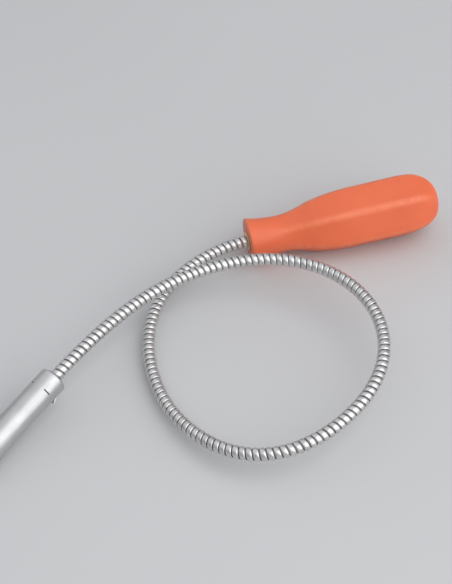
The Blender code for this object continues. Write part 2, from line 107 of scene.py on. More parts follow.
# ---- The head, in mm from its rear face ------------------------------------------------------
HEAD_RADIUS = 7.0
BARREL_END, BARREL_BORE, BARREL_REAR_WALL, BARREL_REAR_EDGE = 48.0, 6.4, 0.9, 1.0
BARREL_FRONT_EDGE, BARREL_STEPS, NECK_HOLE = 0.25, 180, 3.45
BARREL_STATIONS, BARREL_REAR_STATION = (40.0, 30.0, 20.0, 12.0), 3.0    # rings along its side
# (radius, place) round the boss that the neck comes out of
BOSS_PROFILE = ((5.4, -0.12), (4.75, -0.55), (4.4, -0.9), (4.15, -1.0), (3.7, -1.0), (3.5, -0.85))
TAB_COUNT, TAB_FIRST_DEG, TAB_HALF_ARC_DEG = 4, 44.0, 15.6
TAB_ROOT, TAB_TIP, TAB_THICK = 5.2, 8.95, 0.5
TAB_RISES = (0.04, 0.04, 1.1, 0.04)     # how far the tip of each tab stands out
TAB_LAP, TAB_EDGE, TAB_STEPS, TAB_ARC_STEPS = 0.1, 0.12, 10, 10
TAB_PROUD = 0.01                        # a tab's face stands this far over the barrel's
TAB_CURL_PAST_TIP, TAB_CURL_GAIN = 0.8, 1.1     # the curl would level out past the tip
# Each tab lies in a pocket, whose floor is painted dark as painted shade where the tab leaves it
# open.
POCKET_START, POCKET_END, POCKET_DEPTH = 5.2, 9.5, 0.55
POCKET_WALL, POCKET_MARGIN_DEG = 0.02, 1.0
BEZEL_START, BEZEL_END, BEZEL_EDGE, BEZEL_STEPS = 49.05, 61.2, 1.0, 120
BEZEL_MOUTH, BEZEL_MOUTH_INNER, BEZEL_MOUTH_DEPTH, BEZEL_CHAMFER = 5.9, 5.6, 0.1, 0.2
BEZEL_BORE, BEZEL_BORE_END = 5.5, 57.5
SPIGOT_RADIUS, SPIGOT_START = 6.15, 41.0
GRIP_GROOVES, GROOVE_START, GROOVE_PITCH, GROOVE_WIDTH, GROOVE_DEPTH = 4, 51.0, 1.8, 0.8, 0.35
GROOVE_LIP, GROOVE_LIP_DROP, GROOVE_WALL = 0.15, 0.08, 0.1
SEAL_RING, SEAL_PLACE, SEAL_THICKNESS, SEAL_POINTS = 6.5, 48.5, 0.38, 16
MAGNET_RADIUS, MAGNET_START, MAGNET_END, MAGNET_EDGE = 2.25, 43.5, 62.0, 0.2
CUP_OUTER, CUP_INNER, CUP_START, CUP_FLOOR, CUP_END = 2.85, 2.35, 42.3, 43.3, 61.0
CUP_EDGE, CUP_CHAMFER = 0.15, 0.1
LAMP_COUNT, LAMP_CIRCLE, LAMP_RADIUS, LAMP_FLANGE = 3, 4.0, 0.9, 1.0
LAMP_START, LAMP_FLANGE_END, LAMP_DOME_START = 50.2, 51.4, 57.8
TIP_STEPS, LAMP_STEPS = 64, 40      # steps round each turned piece

# ---- Camera, lights and floor, in metres -----------------------------------------------------
CAMERA_TARGET = Vector((5.5, 30.9, 0.0)) * MM
CAMERA_ELEVATION_DEG = 48.2
CAMERA_DISTANCE = 0.7152
CAMERA_LENS, CAMERA_SENSOR = 83.7, 36.0
CAMERA_TILT_DEG = 0.084
# (name, place, side, power); both point at the origin
AREA_LIGHTS = (("key", (0.85, -0.60, 1.10), 2.2, 23.0),
               ("overhead", (-0.60, 0.45, 1.45), 2.5, 8.0))
WORLD_COLOUR, WORLD_STRENGTH = (0.9, 0.93, 1.0, 1.0), 0.42
FLOOR_HALF, FLOOR_DROP = 4.0, 0.0001


# ---- Small helpers ---------------------------------------------------------------------------
def hermite(f, start, end, start_slope, end_slope):
    """The cubic from start to end with these slopes, read at f between 0 and 1."""
    return ((2 * f**3 - 3 * f**2 + 1) * start + (f**3 - 2 * f**2 + f) * start_slope
            + (3 * f**2 - 2 * f**3) * end + (f**3 - f**2) * end_slope)


def smooth_value(values, t):
    """A smooth curve through values, read at t stations from the first."""
    last = len(values) - 1
    i = min(int(t), last - 1)
    here, following = values[i], values[i + 1]
    before = values[i - 1] if i > 0 else 2 * here - following
    after = values[i + 2] if i + 2 <= last else 2 * following - here
    return hermite(t - i, here, following, (following - before) / 2, (after - here) / 2)


def smooth_step(value, low, high):
    """0 up to low, 1 from high on, and a smooth rise between them."""
    f = min(max((value - low) / (high - low), 0.0), 1.0)
    return f * f * (3.0 - 2.0 * f)


def unit(vector):
    """A numpy vector made one long."""
    return vector / np.linalg.norm(vector)


def heading_vector(heading_deg, slope_deg):
    """A direction from its heading in plan, from +X, and its slope up from the horizontal."""
    heading, slope = math.radians(heading_deg), math.radians(slope_deg)
    return np.array((math.cos(heading) * math.cos(slope),
                     math.sin(heading) * math.cos(slope), math.sin(slope)))


def mount_axis(name):
    """The axis of one of the part's mounts."""
    mount = next(m for m in frame["record"]["mounts"] if m["name"] == name)
    return Vector(mount["axis"]).normalized()


def axis_matrix(origin, axis, start):
    """A frame at origin with its Z along axis and its X as near to start as it can be."""
    z = Vector(axis).normalized()
    x = (Vector(start) - z * Vector(start).dot(z)).normalized()
    rotation = Matrix((x, z.cross(x), z)).transposed().to_4x4()
    return Matrix.Translation(Vector(origin)) @ rotation


def grid_mesh(name, rings, closed_round=True, cap_first=False, cap_last=False):
    """A surface through rings of equal length, each an array of points in metres.

    A ring closes on itself if closed_round, and a cap closes the first or the last ring."""
    count = len(rings[0])
    points = np.concatenate(rings)
    faces = []
    across = count if closed_round else count - 1
    for low in range(len(rings) - 1):
        for i in range(across):
            following = (i + 1) % count
            faces.append((low * count + i, low * count + following,
                          (low + 1) * count + following, (low + 1) * count + i))
    if cap_first:
        faces.append(tuple(reversed(range(count))))
    if cap_last:
        faces.append(tuple(range((len(rings) - 1) * count, len(rings) * count)))
    mesh = bpy.data.meshes.new(name)
    mesh.from_pydata([tuple(p) for p in points], [], faces)
    mesh.validate()
    return mesh


def turn_faces_out(mesh, weld=0.0):
    """Points all faces outwards, after points nearer than weld have become one."""
    work = bmesh.new()
    work.from_mesh(mesh)
    if weld:
        bmesh.ops.remove_doubles(work, verts=work.verts, dist=weld)
    bmesh.ops.recalc_face_normals(work, faces=work.faces)
    work.to_mesh(mesh)
    work.free()


def shade(mesh, sharp_deg):
    """Shades a mesh smooth but for its edges sharper than sharp_deg."""
    mesh.shade_smooth()
    mesh.set_sharp_from_angle(angle=math.radians(sharp_deg))


def add_piece(name, mesh, material, matrix=None):
    """Adds a mesh to the scene. One that is turned into place keeps its own coordinates."""
    piece = bpy.data.objects.new(name, mesh)
    bpy.context.scene.collection.objects.link(piece)
    mesh.materials.append(material)
    if matrix is not None:
        place = mesh.attributes.new("place", "FLOAT_VECTOR", "POINT")
        for i, vertex in enumerate(mesh.vertices):
            place.data[i].vector = vertex.co
        mesh.transform(matrix)
    return piece


def finish_piece(piece, body, slot, *nodes):
    """Puts a piece on its body, in place of the nodes that it stands for."""
    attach(piece, body)
    if nodes:
        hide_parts(*nodes)


def lathe(name, profile, material, matrix, steps=96, closed=True, shape=None):
    """A turned piece. The profile, (radius, height) in mm, runs down its outer side.

    It closes on itself if closed, and otherwise it starts and ends on the axis.
    shape(radius, height, angle) may give each point a radius of its own."""
    rings = []
    for step in range(steps):
        angle = math.tau * step / steps
        ring = []
        for radius, height in profile:
            r = shape(radius, height, angle) if shape else radius
            ring.append((r * MM * math.cos(angle), r * MM * math.sin(angle), height * MM))
        rings.append(np.array(ring))
    rings.append(rings[0])
    mesh = grid_mesh(name, rings, closed_round=closed)
    turn_faces_out(mesh, weld=WELD)
    shade(mesh, TURNED_SHARP_DEG)
    return add_piece(name, mesh, material, matrix)


def arc(radius, height, fillet, begin_deg, end_deg, count=6):
    """Points of a profile on an arc of radius fillet round (radius, height)."""
    points = []
    for i in range(count + 1):
        angle = math.radians(begin_deg + (end_deg - begin_deg) * i / count)
        points.append((radius + fillet * math.cos(angle), height + fillet * math.sin(angle)))
    return points


# ---- Materials -------------------------------------------------------------------------------
class Shading:
    """A material's node tree, with short calls for what several materials share."""

    def __init__(self, name, roughness, metallic=0.0):
        self.material = bpy.data.materials.new(name)
        self.material.use_nodes = True
        self.tree = self.material.node_tree
        self.shader = self.tree.nodes["Principled BSDF"]
        self.shader.inputs["Roughness"].default_value = roughness
        self.shader.inputs["Metallic"].default_value = metallic

    def node(self, kind, **values):
        """A new node; each value is one of its settings or, with _ for a space, an input."""
        made = self.tree.nodes.new(kind)
        for key, value in values.items():
            if hasattr(made, key):
                setattr(made, key, value)
            else:
                made.inputs[key.replace("_", " ")].default_value = value
        return made

    def link(self, source, target):
        self.tree.links.new(source, target)

    def coordinates(self, kind="Object", stretch=(1.0, 1.0, 1.0)):
        """kind is Object, UV, or place for a piece's coordinates before it was turned."""
        if kind == "place":
            source = self.node("ShaderNodeAttribute", attribute_name=kind).outputs["Vector"]
        else:
            source = self.node("ShaderNodeTexCoord").outputs[kind]
        mapping = self.node("ShaderNodeMapping")
        mapping.inputs["Scale"].default_value = stretch
        self.link(source, mapping.inputs["Vector"])
        return mapping.outputs["Vector"]

    def blend(self, factor, first, second):
        """first where factor is 0, and the plain colour second where it is 1."""
        mix = self.node("ShaderNodeMix", data_type="RGBA")
        self.link(factor, mix.inputs["Factor"])
        self.link(first, mix.inputs["A"])
        mix.inputs["B"].default_value = (*second, 1.0)
        return mix.outputs["Result"]

    def noise(self, vector, scale, detail=4.0, roughness=0.55):
        """A cloudy value about 0.5, changing over 1 / scale metres."""
        made = self.node("ShaderNodeTexNoise", Scale=scale, Detail=detail, Roughness=roughness)
        self.link(vector, made.inputs["Vector"])
        return made.outputs["Fac"]

    def spread(self, value, old, new):
        """value from old[0] to old[1] becomes new[0] to new[1]."""
        made = self.node("ShaderNodeMapRange", From_Min=old[0], From_Max=old[1], To_Min=new[0],
                         To_Max=new[1])
        self.link(value, made.inputs["Value"])
        return made.outputs["Result"]

    def colours(self, value, *stops):
        """A colour ramp over value; each stop is (place, colour)."""
        made = self.node("ShaderNodeValToRGB")
        ramp = made.color_ramp
        while len(ramp.elements) < len(stops):
            ramp.elements.new(0.5)
        for element, (place, colour) in zip(ramp.elements, stops):
            element.position = place
            element.color = (*colour, 1.0)
        self.link(value, made.inputs["Fac"])
        return made.outputs["Color"]

    def bump(self, height, strength, distance, under=None):
        """A normal that follows height, on top of the normal under."""
        made = self.node("ShaderNodeBump", Strength=strength, Distance=distance)
        self.link(height, made.inputs["Height"])
        if under is not None:
            self.link(under, made.inputs["Normal"])
        return made.outputs["Normal"]

    def to(self, source, name):
        """source drives that input of the shader."""
        self.link(source, self.shader.inputs[name])


def orange_plastic():
    """Satin moulded plastic, with a patchy painted highlight on its ridges and its face's rim."""
    look = Shading("orange_plastic", 0.42)
    place = look.coordinates("place")
    cloud = look.noise(place, 38.0, detail=3.0)
    plain = look.colours(cloud, (0.30, (0.79, 0.142, 0.052)), (0.55, (0.83, 0.158, 0.060)),
                         (0.78, (0.85, 0.178, 0.070)))
    ridge_sheen = look.node("ShaderNodeAttribute", attribute_name="ridge_sheen").outputs["Fac"]
    patches = look.noise(place, 260.0, detail=5.0, roughness=0.65)
    patchy = look.spread(patches, (0.35, 0.7), (0.25, 1.0))
    sheen = look.node("ShaderNodeMath", operation="MULTIPLY")
    look.link(ridge_sheen, sheen.inputs[0])
    look.link(patchy, sheen.inputs[1])
    # lighter, paler orange on the ridges and the face's rim, in patches: painted highlight
    look.to(look.blend(sheen.outputs[0], plain, (0.90, 0.24, 0.105)), "Base Color")
    rub = look.noise(place, 160.0, detail=6.0, roughness=0.65)
    look.to(look.spread(rub, (0.3, 0.75), (0.36, 0.50)), "Roughness")
    grain = look.noise(place, 2600.0, detail=3.0)
    lengthwise = look.coordinates("place", stretch=(1.0, 1.0, 0.12))
    scuffs = look.noise(lengthwise, 900.0, detail=5.0, roughness=0.7)
    fine = look.bump(grain, 0.12, 0.00008)
    look.to(look.bump(scuffs, 0.08, 0.0001, under=fine), "Normal")
    look.shader.inputs["Subsurface Weight"].default_value = 0.05
    look.shader.inputs["Subsurface Radius"].default_value = (0.004, 0.0012, 0.0005)
    return look.material


def neck_steel(name, bright, dull, smooth, rough):
    """Drawn spring wire: fine lines along it and a slightly uneven polish."""
    look = Shading(name, smooth, 1.0)
    drawn = look.coordinates("UV", stretch=(1.2, 60.0, 1.0))
    lines = look.noise(drawn, 9.0, detail=5.0, roughness=0.6)
    cloud = look.noise(look.coordinates("UV", stretch=(0.7, 1.0, 1.0)), 3.0, detail=3.0)
    look.to(look.colours(cloud, (0.30, dull), (0.62, bright)), "Base Color")
    look.to(look.spread(lines, (0.3, 0.7), (smooth, rough)), "Roughness")
    look.to(look.bump(lines, 0.12, 0.00003), "Normal")
    return look.material


def satin_aluminium():
    """Turned and blasted aluminium, with near-black painted shade where it is cut through."""
    look = Shading("satin_aluminium", 0.44, 1.0)
    round_it = look.coordinates("place", stretch=(60.0, 60.0, 5200.0))
    turning = look.noise(round_it, 1.0, roughness=0.6)
    cloud = look.noise(look.coordinates("place"), 120.0)
    along_it = look.coordinates("place", stretch=(900.0, 900.0, 90.0))
    rub = look.noise(along_it, 1.0, detail=5.0, roughness=0.7)
    speck = look.noise(look.coordinates("place"), 1500.0, roughness=0.6)
    plain = look.colours(cloud, (0.30, (0.54, 0.54, 0.535)), (0.70, (0.63, 0.63, 0.625)))
    pocket_shade = look.node("ShaderNodeAttribute", attribute_name="pocket_shade").outputs["Fac"]
    # near-black on the pocket floors: painted shade in the slits beside the tabs
    look.to(look.blend(pocket_shade, plain, (0.02, 0.02, 0.02)), "Base Color")
    look.to(look.spread(rub, (0.30, 0.72), (0.36, 0.52)), "Roughness")
    fine = look.bump(turning, 0.16, 0.00004)
    worn = look.bump(rub, 0.05, 0.00003, under=fine)
    look.to(look.bump(speck, 0.12, 0.00003, under=worn), "Normal")
    look.shader.inputs["Anisotropic"].default_value = 0.3
    return look.material


def plated(name, colour, worn, roughness):
    """A plated or polished metal with faint marks."""
    look = Shading(name, roughness, 1.0)
    marks = look.noise(look.coordinates(), 700.0, detail=5.0, roughness=0.65)
    look.to(look.colours(marks, (0.35, worn), (0.65, colour)), "Base Color")
    look.to(look.spread(marks, (0.3, 0.75), (roughness + 0.12, roughness)), "Roughness")
    look.to(look.bump(marks, 0.06, 0.00003), "Normal")
    return look.material


def moulded(name, dark, light, roughness, grain_scale=1800.0):
    """A plain moulded or coated surface with a fine grain."""
    look = Shading(name, roughness)
    place = look.coordinates()
    grain = look.noise(place, grain_scale, detail=3.0)
    look.to(look.colours(look.noise(place, 150.0), (0.35, dark), (0.7, light)), "Base Color")
    look.to(look.spread(grain, (0.3, 0.7), (roughness - 0.06, roughness + 0.08)), "Roughness")
    look.to(look.bump(grain, 0.15, 0.00005), "Normal")
    return look.material


def clear_plastic():
    """The slightly hazy plastic of the lamps."""
    look = Shading("clear_plastic", 0.06)
    haze = look.noise(look.coordinates(), 900.0, detail=3.0)
    look.to(look.colours(haze, (0.3, (0.90, 0.92, 0.95)), (0.7, (0.96, 0.97, 1.0))),
            "Base Color")
    look.to(look.spread(haze, (0.3, 0.7), (0.04, 0.12)), "Roughness")
    look.shader.inputs["Transmission Weight"].default_value = 0.75
    look.shader.inputs["IOR"].default_value = 1.5
    return look.material


def make_materials():
    """Every material by name: the part's slots, and the two wires of the neck."""
    return {
        "orange_plastic": orange_plastic(),
        "satin_aluminium": satin_aluminium(),
        "clear_plastic": clear_plastic(),
        "band_steel": neck_steel("band_steel", bright=(0.74, 0.73, 0.72), dull=(0.60, 0.59, 0.58),
                                 smooth=0.28, rough=0.42),
        # the round wire takes a much darker copy of the flat wire's steel: painted shade in the
        # grooves
        "shaded_core_steel": neck_steel("shaded_core_steel", bright=(0.30, 0.29, 0.28), dull=(0.18, 0.175, 0.17),
                                 smooth=0.40, rough=0.55),
        "bright_steel": plated("bright_steel", colour=(0.70, 0.69, 0.67), worn=(0.58, 0.57, 0.55),
                               roughness=0.22),
        "brass": plated("brass", colour=(0.90, 0.70, 0.40), worn=(0.78, 0.56, 0.28),
                        roughness=0.30),
        "nickel": plated("nickel", colour=(0.72, 0.70, 0.66), worn=(0.60, 0.58, 0.55),
                         roughness=0.14),
        "black_plastic": moulded("black_plastic", dark=(0.014, 0.014, 0.016),
                                 light=(0.03, 0.03, 0.032), roughness=0.42),
        "circuit_board": moulded("circuit_board", dark=(0.02, 0.15, 0.06),
                                 light=(0.04, 0.24, 0.10), roughness=0.38),
        "paper_liner": moulded("paper_liner", dark=(0.72, 0.69, 0.62), light=(0.84, 0.82, 0.76),
                               roughness=0.80, grain_scale=900.0),
        "seal_rubber": moulded("seal_rubber", dark=(0.010, 0.010, 0.010),
                               light=(0.022, 0.022, 0.022), roughness=0.68),
    }


# ---- The neck --------------------------------------------------------------------------------
class NeckRoute:
    """The neck's centre line, with a frame that is carried along it without twisting."""

    def __init__(self):
        """Adds up short straight steps: into the handle's bore, along the bends, into the head."""
        step = NECK_LINK / STEPS_PER_LINK
        ahead = [heading_vector(smooth_value(NECK_HEADING_DEG, (i + 0.5) / STEPS_PER_LINK),
                                smooth_value(NECK_SLOPE_DEG, (i + 0.5) / STEPS_PER_LINK))
                 for i in range(LINK_COUNT * STEPS_PER_LINK)]
        into_handle = round(2 * NECK_IN_HANDLE / step)
        into_head = round(2 * NECK_IN_HEAD / step)
        first = -np.array(mount_axis("hand_grip"))
        last = heading_vector(NECK_HEADING_DEG[-1], NECK_SLOPE_DEG[-1])
        ahead = [first] * into_handle + ahead + [last] * into_head
        start = FACE_CENTRE - first * step * into_handle
        self.step = step
        self.start = -into_handle * step
        self.points = np.vstack([start, start + np.cumsum(np.array(ahead) * step, axis=0)])
        self.tangents = np.vstack([ahead[0], [unit(a + b) for a, b in zip(ahead, ahead[1:])],
                                   ahead[-1]])
        side = unit(np.cross(self.tangents[0], (0.0, 0.0, 1.0)))
        sides = []
        for tangent in self.tangents:
            side = unit(side - tangent * side.dot(tangent))
            sides.append(side)
        self.sides = np.array(sides)

    def at(self, s):
        """Point, tangent and the two side directions at s metres from the handle's face."""
        place = (s - self.start) / self.step
        i = min(max(int(place), 0), len(self.points) - 2)
        f = place - i
        point = self.points[i] * (1 - f) + self.points[i + 1] * f
        tangent = unit(self.tangents[i] * (1 - f) + self.tangents[i + 1] * f)
        side = unit(self.sides[i] * (1 - f) + self.sides[i + 1] * f)
        return point, tangent, side, np.cross(tangent, side)


def wire_mesh(name, route, start, end, section, steps_per_turn, lag):
    """A right-handed wire wound round the route. lag is its offset along the neck in turns."""
    first = math.floor(start / TURN_PITCH * steps_per_turn + 0.5)
    last = math.floor(end / TURN_PITCH * steps_per_turn + 0.5)
    rings = []
    for step in range(first, last + 1):
        s = step / steps_per_turn * TURN_PITCH
        point, tangent, side, up = route.at(s)
        angle = math.tau * (step / steps_per_turn - lag)
        out = side * math.cos(angle) + up * math.sin(angle)
        rings.append(np.array([point + tangent * along * MM + out * away * MM
                               for along, away in section]))
    mesh = grid_mesh(name, rings, cap_first=True, cap_last=True)
    count = len(section)
    layer = mesh.uv_layers.new(name="wire")
    turn_length = math.tau * NECK_RADIUS / MM
    loops = np.zeros(len(mesh.loops), np.int64)
    mesh.loops.foreach_get("vertex_index", loops)
    along = (first + loops // count) / steps_per_turn * turn_length * UV_SCALE
    around = (loops % count) / count
    layer.data.foreach_set("uv", np.stack([along, around], axis=1).ravel())
    turn_faces_out(mesh)
    shade(mesh, WIRE_SHARP_DEG)
    return mesh


def round_section(radius, centre, sides):
    """The section of a round wire, in mm."""
    turns = [math.tau * i / sides for i in range(sides)]
    return [(radius * math.cos(turn), centre + radius * math.sin(turn)) for turn in turns]


def make_neck(route, materials):
    """One stretch of both wires for each link, baked where it lies, and a stub inside handle and
    head.
    """
    core = round_section(CORE_RADIUS, CORE_CENTRE, CORE_SIDES)
    wires = (("flat_wire", BAND_SECTION, BAND_STEPS, 0.0, "band_steel"),
             ("round_wire", core, CORE_STEPS, CORE_LAG, "shaded_core_steel"))
    for wire, section, steps, lag, look in wires:
        stubs = (("start", -NECK_IN_HANDLE, 0.0, "handle"),
                 ("end", NECK_LENGTH, NECK_LENGTH + NECK_IN_HEAD, "head"))
        for where, start, end, body in stubs:
            name = f"{wire}_{where}"
            mesh = wire_mesh(name, route, start, end, section, steps, lag)
            finish_piece(add_piece(name, mesh, materials[look]), body, "bright_steel")
        for link in range(LINK_COUNT):
            name = f"{wire}_{link + 1:02d}"
            start, end = link * NECK_LINK, (link + 1) * NECK_LINK
            mesh = wire_mesh(name, route, start, end, section, steps, lag)
            piece = add_piece(name, mesh, materials[look])
            bend_from = max(start, FIRST_BEND)
            bend_to = min(end, NECK_LENGTH - LAST_BEND)
            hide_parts(f"neck_section_{link + 1:02d}", f"neck_section_{link + 2:02d}")
            tuple(route.at(bend_from)[0])
            tuple(route.at(bend_to)[0])
            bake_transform(piece)


# ---- The handle ------------------------------------------------------------------------------
def handle_width(t):
    """Half of the width across the flats, t mm from the front face."""
    if t >= DOME_START:
        fraction = min((t - DOME_START) / (HANDLE_LENGTH - DOME_START), 1.0)
        return HANDLE_PROFILE[-1][1] * (1.0 - fraction ** DOME_POWER) ** (1.0 / DOME_POWER)
    places = [place for place, _ in HANDLE_PROFILE]
    widths = [width for _, width in HANDLE_PROFILE]
    slopes = []
    for n in range(len(places) - 1):
        low = max(n - 1, 0)
        slopes.append((widths[n + 1] - widths[low]) / (places[n + 1] - places[low]))
    slopes.append(0.0)
    i = max(n for n in range(len(places) - 1) if places[n] <= t)
    gap = places[i + 1] - places[i]
    return hermite((t - places[i]) / gap, widths[i], widths[i + 1], gap * slopes[i],
                   gap * slopes[i + 1])


def facet_weight(t):
    """0 where the handle is round, 1 where it is six-sided."""
    return (smooth_step(t, FACETS_START, FACETS_FULL)
            * (1.0 - smooth_step(t, FACETS_FADE, FACETS_END)))


def hexagon(width):
    """The outline of the six-sided stretch, with rounded ridges; the first ridge is at +X."""
    fillet = min(RIDGE_FILLET, width * 0.5)
    half = math.pi / SIDES
    centre = (width - fillet) / math.cos(half)
    points = []
    for ridge in range(SIDES):
        turn = 2 * half * ridge
        rounded = []
        for i in range(POINTS_PER_RIDGE):
            normal = half * (2 * i / (POINTS_PER_RIDGE - 1) - 1) + turn
            rounded.append(np.array((centre * math.cos(turn) + fillet * math.cos(normal),
                                     centre * math.sin(turn) + fillet * math.sin(normal))))
        following, normal = turn + 2 * half, turn + half
        flat_end = np.array((centre * math.cos(following) + fillet * math.cos(normal),
                             centre * math.sin(following) + fillet * math.sin(normal)))
        points.extend(rounded)
        for i in range(1, POINTS_PER_FLAT + 1):
            f = i / (POINTS_PER_FLAT + 1)
            points.append(rounded[-1] * (1 - f) + flat_end * f)
    return points


def handle_ring(t, width, weight=0.0):
    """The handle's outline t mm from its face: round at weight 0 and six-sided at 1."""
    swell = 1.0 + (ROUND_SWELL - 1.0) * smooth_step(t, 0.0, FACETS_FULL)
    ring = []
    for flat in hexagon(width):
        point = unit(flat) * width * swell * (1 - weight) + flat * weight
        ring.append((point[0] * MM, point[1] * MM, t * MM))
    return np.array(ring)


def mark_ridges(mesh):
    """Stores each point's share of painted highlight: most on the six ridges and the face's rim.
    """
    ridge_sheen = mesh.attributes.new("ridge_sheen", "FLOAT", "POINT")
    half_ridge = (POINTS_PER_RIDGE - 1) / 2
    for i, vertex in enumerate(mesh.vertices):
        t = vertex.co.z / MM
        place = i % (POINTS_PER_RIDGE + POINTS_PER_FLAT)
        on_ridge = max(0.0, 1.0 - abs(place - half_ridge) / half_ridge)
        out = math.hypot(vertex.co.x, vertex.co.y) / MM
        rim = smooth_step(out, *SHEEN_RIM) * (1.0 - smooth_step(t, *SHEEN_RIM_DEPTH))
        ridge_sheen.data[i].value = max(on_ridge * facet_weight(t), rim)


def handle_matrix():
    """The place of the handle: Z along it from its face, and X through its first ridge."""
    axis = mount_axis("hand_grip")
    level = axis.cross(Vector((0.0, 0.0, 1.0))).normalized()
    upward = level.cross(axis)
    angle = math.radians(RIDGE_ANGLE_DEG)
    return axis_matrix(FACE_CENTRE, axis, level * math.cos(angle) + upward * math.sin(angle))


def handle_rings():
    """The grip's outlines: out of the bore, over the face and its edge, and along to the dome."""
    rings = [handle_ring(depth, BORE_RADIUS) for depth in (BORE_SHOWN, BORE_EDGE_DEPTH)]
    face = handle_width(0.0) - FACE_EDGE_RADIUS
    for share in FACE_SHARES:
        width = BORE_RADIUS + BORE_EDGE_WIDTH + (face - BORE_RADIUS - BORE_EDGE_WIDTH) * share
        rings.append(handle_ring(0.0, width))
    for i in range(FACE_EDGE_RINGS):
        angle = math.radians(90.0 * i / (FACE_EDGE_RINGS - 1))
        depth = FACE_EDGE_RADIUS * (1.0 - math.cos(angle))
        rings.append(handle_ring(depth, face + FACE_EDGE_RADIUS * math.sin(angle)))
    places = [FACE_EDGE_RADIUS + (DOME_START - FACE_EDGE_RADIUS) * i / BODY_RINGS
              for i in range(1, BODY_RINGS)]
    for i in range(DOME_RINGS):
        fraction = math.sin(math.radians(LAST_DOME_DEG) * i / (DOME_RINGS - 1))
        places.append(DOME_START + (HANDLE_LENGTH - DOME_START) * fraction)
    return rings + [handle_ring(t, handle_width(t), facet_weight(t)) for t in places]


def make_grip(materials):
    """The moulded grip, with a short stretch of its bore."""
    mesh = grid_mesh("grip", handle_rings(), cap_first=True, cap_last=True)
    mark_ridges(mesh)
    shade(mesh, GRIP_SHARP_DEG)
    grip = add_piece("grip", mesh, materials["orange_plastic"], handle_matrix())
    finish_piece(grip, "handle", "orange_plastic", "handle_grip")


def make_ferrule(materials):
    """The brass sleeve in the grip's bore, with a rounded lip on the face."""
    profile = [(FERRULE_RADIUS, FERRULE_SHOWN), (FERRULE_RADIUS, LIP_START),
               *arc(LIP_RADIUS - LIP_ROUND, LIP_START - LIP_ROUND, LIP_ROUND, 90, -90),
               (FERRULE_BORE + LIP_CHAMFER, LIP_END), (FERRULE_BORE, LIP_END + LIP_CHAMFER),
               (FERRULE_BORE, FERRULE_SHOWN)]
    ferrule = lathe("ferrule", profile, materials["brass"], handle_matrix())
    finish_piece(ferrule, "handle", "brass", "handle_ferrule")


# ---- The head --------------------------------------------------------------------------------
def head_matrix(route):
    """The place of the head: Z along it from its rear face."""
    return axis_matrix(route.at(NECK_LENGTH)[0], mount_axis("pickup_face"), (0.0, 0.0, 1.0))


def pocket_shape(radius, height, angle):
    """Sinks a pocket for each of the four tabs into the outside of the barrel."""
    pitch = 360.0 / TAB_COUNT
    off = (math.degrees(angle) + pitch / 2) % pitch - pitch / 2
    outside = math.isclose(radius, HEAD_RADIUS)
    at_a_tab = abs(off) < TAB_HALF_ARC_DEG - POCKET_MARGIN_DEG
    if outside and at_a_tab and POCKET_START <= height <= POCKET_END:
        return radius - POCKET_DEPTH
    return radius


def make_tab(name, rise, materials, matrix):
    """One tongue cut out of the barrel's wall, hinged at its rear end."""
    arcs = [math.radians(TAB_HALF_ARC_DEG * (2 * i / TAB_ARC_STEPS - 1))
            for i in range(TAB_ARC_STEPS + 1)]
    rings = []
    for i in range(TAB_STEPS + 1):
        height = TAB_ROOT - TAB_LAP + (TAB_TIP - TAB_ROOT + TAB_LAP) * i / TAB_STEPS
        edge = TAB_EDGE if i == TAB_STEPS else 0.0
        curl = smooth_step(height, TAB_ROOT, TAB_TIP + TAB_CURL_PAST_TIP) * TAB_CURL_GAIN
        outer = HEAD_RADIUS + TAB_PROUD + rise * curl
        ring = [((outer - edge) * math.cos(a), (outer - edge) * math.sin(a)) for a in arcs]
        inner = outer - TAB_THICK + edge
        ring += [(inner * math.cos(a), inner * math.sin(a)) for a in reversed(arcs)]
        rings.append(np.array([(x * MM, y * MM, height * MM) for x, y in ring]))
    mesh = grid_mesh(name, rings, cap_first=True, cap_last=True)
    shade(mesh, TURNED_SHARP_DEG)
    finish_piece(add_piece(name, mesh, materials["satin_aluminium"], matrix), "head",
                 "satin_aluminium")


def barrel_profile():
    """The barrel's outline, down its outer side, round its boss and up its bore."""
    front = arc(HEAD_RADIUS - BARREL_FRONT_EDGE, BARREL_END - BARREL_FRONT_EDGE,
                BARREL_FRONT_EDGE, 90, 0, 3)
    stations = (*BARREL_STATIONS, POCKET_END + POCKET_WALL, POCKET_END, POCKET_START,
                POCKET_START - POCKET_WALL, BARREL_REAR_STATION)
    side = [(HEAD_RADIUS, height) for height in stations]
    rear = arc(HEAD_RADIUS - BARREL_REAR_EDGE, BARREL_REAR_EDGE, BARREL_REAR_EDGE, 0, -80)
    inner = [(NECK_HOLE, BARREL_REAR_WALL), (BARREL_BORE, BARREL_REAR_WALL),
             (BARREL_BORE, BARREL_END)]
    return [*front, *side, *rear, *BOSS_PROFILE, *inner]


def mark_pockets(barrel):
    """Stores where the barrel gets painted shade: on the floor of each pocket."""
    pocket_shade = barrel.data.attributes.new("pocket_shade", "FLOAT", "POINT")
    for i, place in enumerate(barrel.data.attributes["place"].data):
        x, y, height = (value / MM for value in place.vector)
        sunk = math.hypot(x, y) < HEAD_RADIUS - POCKET_DEPTH / 2
        pocket_shade.data[i].value = 1.0 if sunk and POCKET_START <= height <= POCKET_END else 0.0


def make_barrel(materials, matrix):
    """The drawn barrel, with a pocket and a tongue for each of its tabs."""
    turned = matrix @ Matrix.Rotation(math.radians(TAB_FIRST_DEG), 4, "Z")
    barrel = lathe("barrel", barrel_profile(), materials["satin_aluminium"], turned,
                   steps=BARREL_STEPS, shape=pocket_shape)
    mark_pockets(barrel)
    finish_piece(barrel, "head", "satin_aluminium", "head_barrel")
    for i, rise in enumerate(TAB_RISES):
        turn = Matrix.Rotation(math.tau * i / TAB_COUNT, 4, "Z")
        make_tab(f"tab_{i + 1}", rise, materials, turned @ turn)


